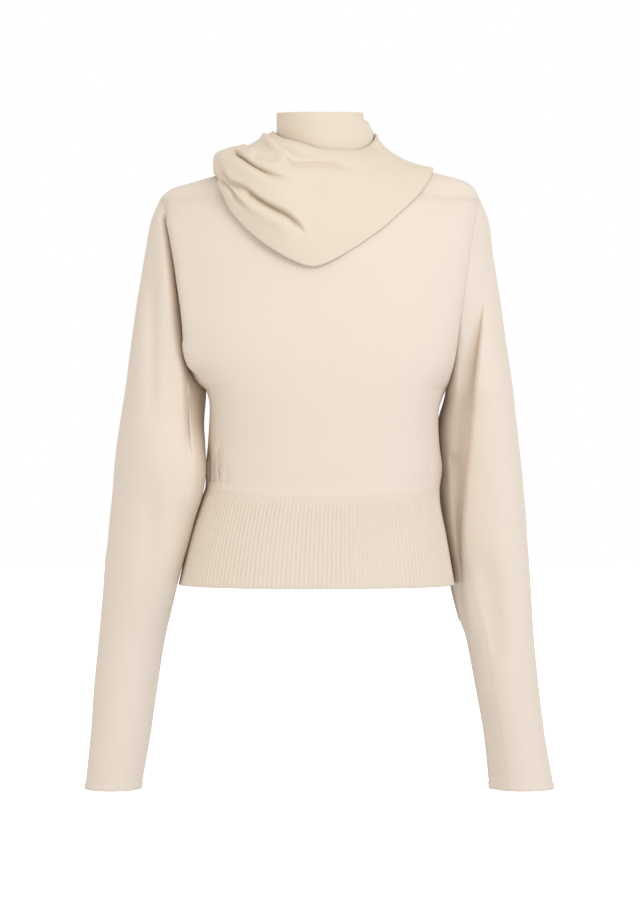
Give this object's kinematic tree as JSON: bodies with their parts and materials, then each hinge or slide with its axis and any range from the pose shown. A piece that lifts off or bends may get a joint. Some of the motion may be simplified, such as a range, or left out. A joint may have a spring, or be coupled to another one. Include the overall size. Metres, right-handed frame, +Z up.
{
  "type": "draped-cowl knit top",
  "caption": "Long-sleeved cream knit top with a close neck tube, a cowl draped round it and gathered on one shoulder, and a flared ribbed waistband.",
  "frame": {"origin": "the middle of the neck at the height of the shoulders, where the wearer carries the top", "axes": "+Z up the wearer's neck, -Y out of the front, +X towards the wearer's left sleeve"},
  "size_m": [0.549, 0.2176, 0.7894],
  "materials": {
    "plain_knit": "fine plain knit of soft cream yarn, matte with a faint fuzz",
    "rib_knit": "the same yarn in narrow vertical ribs, matte",
    "collar_knit": "the same yarn in a looser, softer knit, matte"
  },
  "bodies": {
    "root": {"front_panel": "plain_knit", "back_panel": "plain_knit", "sleeve_right": "plain_knit", "sleeve_left": "plain_knit", "waistband_front": "rib_knit", "waistband_back": "rib_knit", "neck_tube": "collar_knit", "draped_cowl": "collar_knit"}
  },
  "joints": []
}
